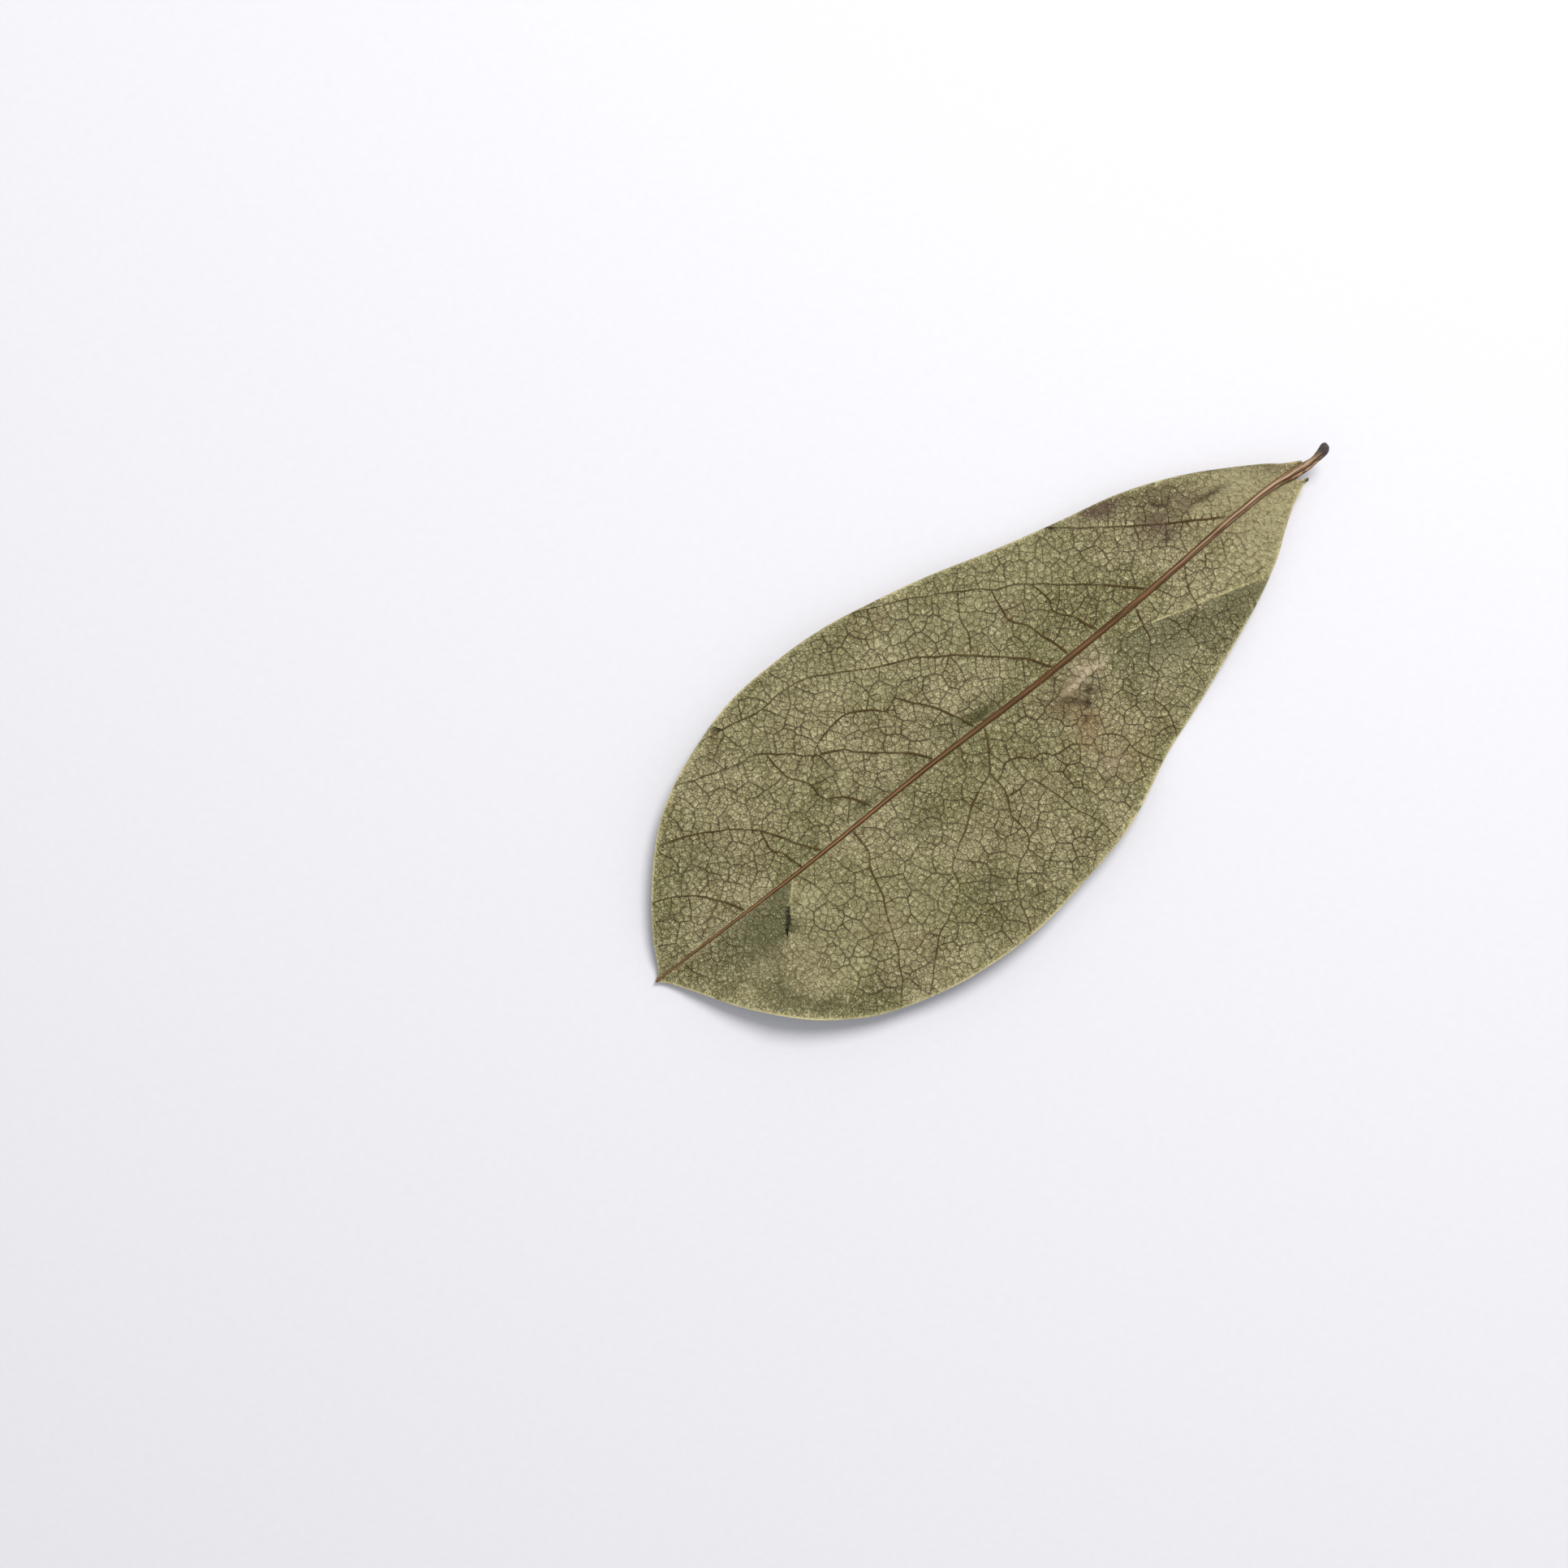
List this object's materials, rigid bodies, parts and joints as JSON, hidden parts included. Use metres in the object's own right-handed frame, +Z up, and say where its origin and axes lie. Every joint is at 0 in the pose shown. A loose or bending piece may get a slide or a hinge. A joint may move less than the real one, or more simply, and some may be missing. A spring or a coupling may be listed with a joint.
{
  "type": "dried soursop leaf",
  "caption": "Flat dried leaf lying underside up, with a raised midrib and vein net, a lightly curled blade, a pointed tip and a short bent stalk.",
  "frame": {"origin": "centre of the leaf's box at the level of the surface that it lies on", "axes": "+X along the midrib from the stalk to the tip, +Y across the blade, +Z up out of the underside of the leaf, which faces up"},
  "size_m": [0.1452, 0.0632, 0.0065],
  "materials": {
    "leaf": "dry, matt with a faint sheen, pale olive with a brown midrib"
  },
  "bodies": {
    "root": {"leaf": "leaf"}
  },
  "joints": []
}
